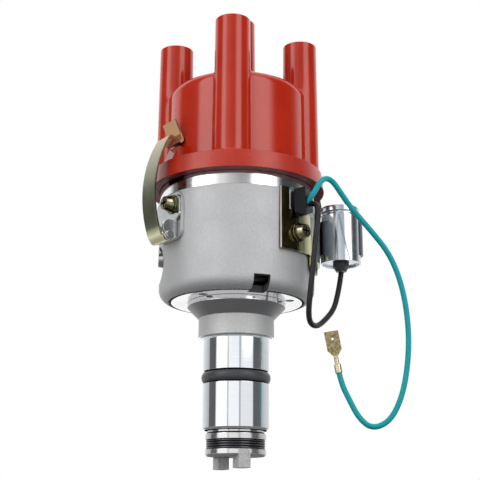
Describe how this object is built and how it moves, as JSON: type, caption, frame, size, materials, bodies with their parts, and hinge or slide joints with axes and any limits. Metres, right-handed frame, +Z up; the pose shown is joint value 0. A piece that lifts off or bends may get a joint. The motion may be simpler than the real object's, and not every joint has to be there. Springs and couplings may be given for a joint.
{
  "type": "ignition distributor",
  "caption": "Ignition distributor: cast bowl on a slim shank with drive dog, clipped moulded cap with lead towers, contact points, centrifugal advance, strapped condenser, leads.",
  "frame": {"origin": "on the shaft's axis at the lower shoulder of the collar, the face that seats on the clamp", "axes": "+Z up along the shaft towards the towers; -Y faces the viewer of the picture, +X is its right"},
  "size_m": [0.1103, 0.0744, 0.1953],
  "materials": {
    "cast_housing": "matt sand-cast grey with machined bright bands",
    "cap_moulding": "glossy red-brown moulded phenolic",
    "rotor_moulding": "dark brown moulded phenolic",
    "black_rubber": "matt black",
    "lead_green": "smooth satin insulation",
    "lead_black": "smooth satin insulation",
    "yellow_zinc": "yellow-passivated zinc",
    "bright_zinc": "bright zinc",
    "clip_spring_steel": "yellow-passivated spring strip",
    "ground_steel": "ground",
    "tinned_can": "drawn, tinned, bright",
    "brass": "satin",
    "bronze_bush": "sintered",
    "contact_tungsten": "lapped",
    "fibre_block": "laminated fibre",
    "carbon": "matt",
    "felt": "oiled felt"
  },
  "bodies": {
    "root": {"distributor_housing": "cast_housing", "side_plug": "bright_zinc", "o_ring": "black_rubber", "upper_bushing": "bronze_bush", "lower_bushing": "bronze_bush", "distributor_cap": "cap_moulding", "outer_terminals": "brass", "centre_terminal": "brass", "brush_spring": "ground_steel", "clip_bracket_left": "bright_zinc", "clip_bracket_right": "bright_zinc", "clip_pins": "ground_steel", "flat_washers": "yellow_zinc", "split_washers": "yellow_zinc", "bracket_screws": "yellow_zinc", "breaker_plate": "bright_zinc", "plate_screws": "bright_zinc", "fixed_contact_bracket": "yellow_zinc", "points_pivot": "ground_steel", "fixed_point": "contact_tungsten", "terminal_insulator": "fibre_block", "terminal_screw": "brass", "contact_spring": "ground_steel", "points_lock_screw": "bright_zinc", "lead_grommet": "black_rubber", "inner_leads": "lead_green", "lead_tab": "brass", "primary_lead": "lead_green", "condenser_lead": "lead_black", "spade_connector": "brass", "condenser_can": "tinned_can", "condenser_boot": "black_rubber", "condenser_strap": "yellow_zinc"},
    "shaft": {"main_shaft": "ground_steel", "drive_dog": "ground_steel", "dog_pin": "ground_steel", "dog_retaining_spring": "ground_steel", "thrust_washers": "ground_steel", "advance_plate": "ground_steel", "weight_pivots": "ground_steel", "advance_spring_posts": "ground_steel", "advance_springs": "ground_steel"},
    "cam": {"breaker_cam": "ground_steel", "cam_retaining_ring": "ground_steel", "oil_felt": "felt", "rotor_arm": "rotor_moulding", "rotor_blade": "brass"},
    "weight_a": {"advance_weight_a": "ground_steel"},
    "weight_b": {"advance_weight_b": "ground_steel"},
    "arm": {"breaker_arm": "yellow_zinc", "rubbing_block": "fibre_block", "moving_point": "contact_tungsten"},
    "brush": {"carbon_brush": "carbon"},
    "clip_left": {"cap_clip_left": "clip_spring_steel"},
    "clip_right": {"cap_clip_right": "clip_spring_steel"}
  },
  "joints": [
    {"name": "shaft_spin", "type": "hinge", "parent": "root", "child": "shaft", "pos_m": [0, 0, 0], "axis": [0, 0, 1], "continuous": true},
    {"name": "cam_advance", "type": "hinge", "parent": "shaft", "child": "cam", "pos_m": [0, 0, 0.04], "axis": [0, 0, -1], "range_deg": [0, 12.5], "stiffness_Nm_per_rad": 0.12, "springref_deg": -2.86, "deforming": ["advance_springs"]},
    {"name": "weight_a_swing", "type": "hinge", "parent": "shaft", "child": "weight_a", "pos_m": [0.016, 0, 0.024], "axis": [0, 0, 1], "range_deg": [0, 9.75]},
    {"name": "weight_b_swing", "type": "hinge", "parent": "shaft", "child": "weight_b", "pos_m": [-0.016, 0, 0.024], "axis": [0, 0, 1], "range_deg": [0, 9.75]},
    {"name": "points_open", "type": "hinge", "parent": "root", "child": "arm", "pos_m": [0.019, -0.013, 0.0497], "axis": [0, 0, 1], "range_deg": [0, 10], "stiffness_Nm_per_rad": 0.3, "springref_deg": -11.46, "deforming": ["contact_spring"]},
    {"name": "brush_slide", "type": "slide", "parent": "root", "child": "brush", "axis": [0, 0, 1], "range_m": [0, 0.0025], "stiffness_N_per_m": 60, "springref_m": -0.003, "deforming": ["brush_spring"]},
    {"name": "clip_left_hinge", "type": "hinge", "parent": "root", "child": "clip_left", "pos_m": [-0.03023, -0.02116, 0.0382], "axis": [0.5736, -0.8192, 0], "range_deg": [0, 100]},
    {"name": "clip_right_hinge", "type": "hinge", "parent": "root", "child": "clip_right", "pos_m": [0.03023, 0.02116, 0.0382], "axis": [-0.5736, 0.8192, 0], "range_deg": [0, 100]}
  ],
  "couplings": [
    {"joint": "weight_a_swing", "follows": "cam_advance", "ratio": 0.7778},
    {"joint": "weight_b_swing", "follows": "cam_advance", "ratio": 0.7778}
  ]
}
